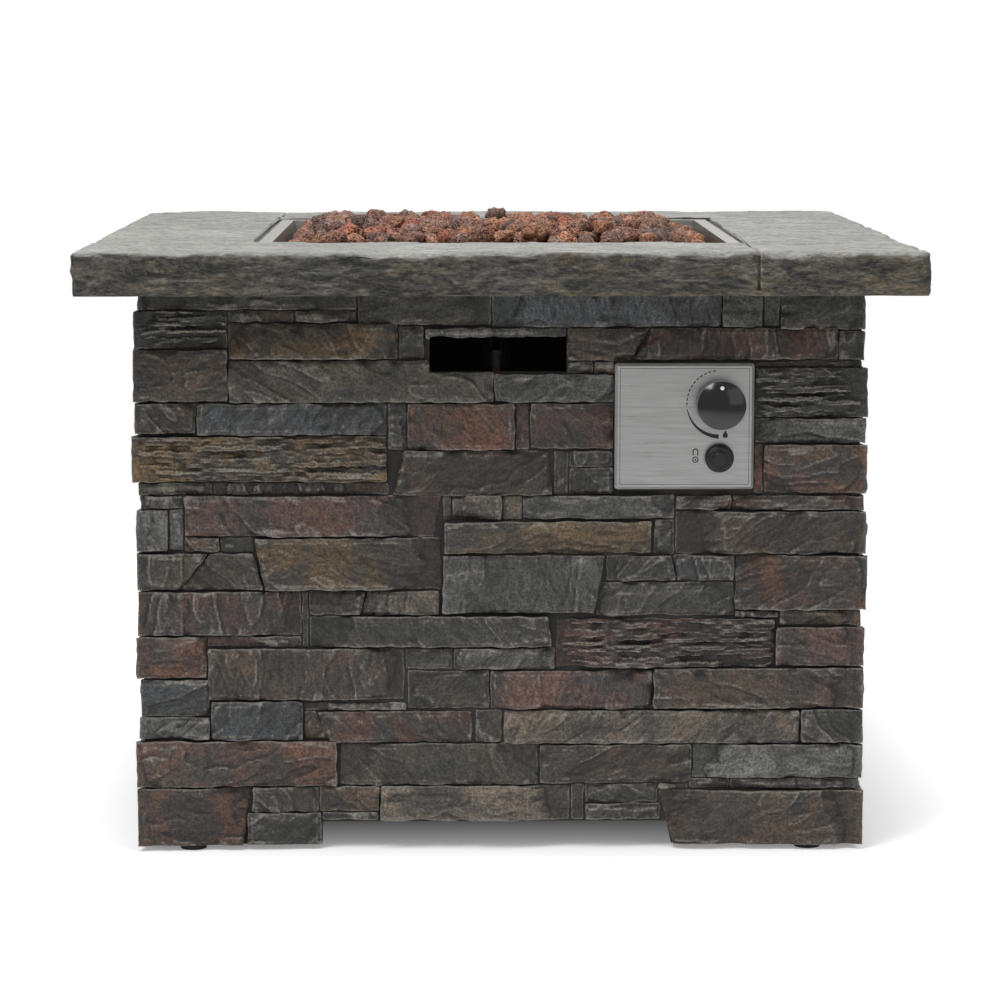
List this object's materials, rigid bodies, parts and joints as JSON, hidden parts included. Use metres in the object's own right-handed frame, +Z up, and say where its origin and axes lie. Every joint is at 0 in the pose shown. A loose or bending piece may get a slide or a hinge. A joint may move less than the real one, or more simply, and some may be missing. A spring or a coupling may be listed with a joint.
{
  "type": "gas fire pit table",
  "caption": "Square gas fire pit table with a cast slab top, ledge-stone walls, a lava-rock burner pan, and a steel control panel with a turning gas knob and a push-button igniter.",
  "frame": {"origin": "floor under the middle of the square top slab", "axes": "+Z up, -Y out of the front wall that carries the control panel, +X to the right as the front is looked at"},
  "size_m": [0.8, 0.8, 0.5953],
  "materials": {
    "slab_stone": "cast slate texture, matt, light grey top with brown-grey broken edges",
    "wall_stone": "cast ledge stone, matt, mixed charcoal, rust, olive and tan with dark joints",
    "lava_stone": "porous volcanic rock, matt, red-brown",
    "zinc_steel": "zinc plated",
    "pan_steel": "satin sheet steel",
    "burner_steel": "satin stainless steel",
    "panel_steel": "brushed stainless steel with a bright bevelled edge",
    "brass": "machined brass",
    "aluminium": "die cast and drawn aluminium",
    "knob_plastic": "glossy black moulded plastic",
    "igniter_plastic": "satin black moulded plastic",
    "ceramic": "white glazed sleeve",
    "foot_rubber": "black rubber",
    "lead_silicone": "red silicone insulation",
    "cell_case": "plain grey sleeve"
  },
  "bodies": {
    "fire_pit": {"top_slab": "slab_stone", "front_wall": "wall_stone", "back_wall": "wall_stone", "left_wall": "wall_stone", "right_wall": "wall_stone", "lava_rocks": "lava_stone", "corner_angle_front_left": "zinc_steel", "corner_angle_front_right": "zinc_steel", "corner_angle_back_left": "zinc_steel", "corner_angle_back_right": "zinc_steel", "top_cleat_front": "zinc_steel", "top_cleat_right": "zinc_steel", "top_cleat_back": "zinc_steel", "top_cleat_left": "zinc_steel", "wall_bolts": "zinc_steel", "cleat_screws": "zinc_steel", "foot_screws": "zinc_steel", "bracket_screws": "zinc_steel", "panel_nuts": "zinc_steel", "valve_screws": "zinc_steel", "back_plate": "zinc_steel", "burner_pan": "pan_steel", "burner_ring": "burner_steel", "pilot_bracket": "burner_steel", "flame_sensor": "burner_steel", "battery_contact": "burner_steel", "control_panel": "panel_steel", "burner_jet": "brass", "burner_nut": "brass", "tube_nuts": "brass", "inlet_fitting": "brass", "gas_valve": "aluminium", "gas_tube": "aluminium", "air_mixer": "aluminium", "igniter_body": "igniter_plastic", "igniter_nut": "igniter_plastic", "spark_electrode": "ceramic", "rubber_foot_front_left": "foot_rubber", "rubber_foot_front_right": "foot_rubber", "rubber_foot_back_left": "foot_rubber", "rubber_foot_back_right": "foot_rubber", "ignition_lead": "lead_silicone", "igniter_battery": "cell_case"},
    "valve_plunger": {"valve_plunger": "burner_steel"},
    "knob": {"knob": "knob_plastic", "valve_stem": "burner_steel"},
    "igniter_cap": {"igniter_cap": "igniter_plastic"},
    "igniter_button": {"igniter_button": "igniter_plastic"}
  },
  "joints": [
    {"name": "knob_push", "type": "slide", "parent": "fire_pit", "child": "valve_plunger", "axis": [0, 1, 0], "range_m": [0, 0.003], "stiffness_N_per_m": 800, "springref_m": -0.002},
    {"name": "knob_turn", "type": "hinge", "parent": "valve_plunger", "child": "knob", "pos_m": [0.2075, -0.36, 0.433], "axis": [0, -1, 0], "range_deg": [0, 180]},
    {"name": "igniter_cap_out", "type": "slide", "parent": "fire_pit", "child": "igniter_cap", "axis": [0, -1, 0], "range_m": [0, 0.03]},
    {"name": "igniter_push", "type": "slide", "parent": "igniter_cap", "child": "igniter_button", "axis": [0, 1, 0], "range_m": [0, 0.0024], "stiffness_N_per_m": 500, "springref_m": -0.002}
  ]
}
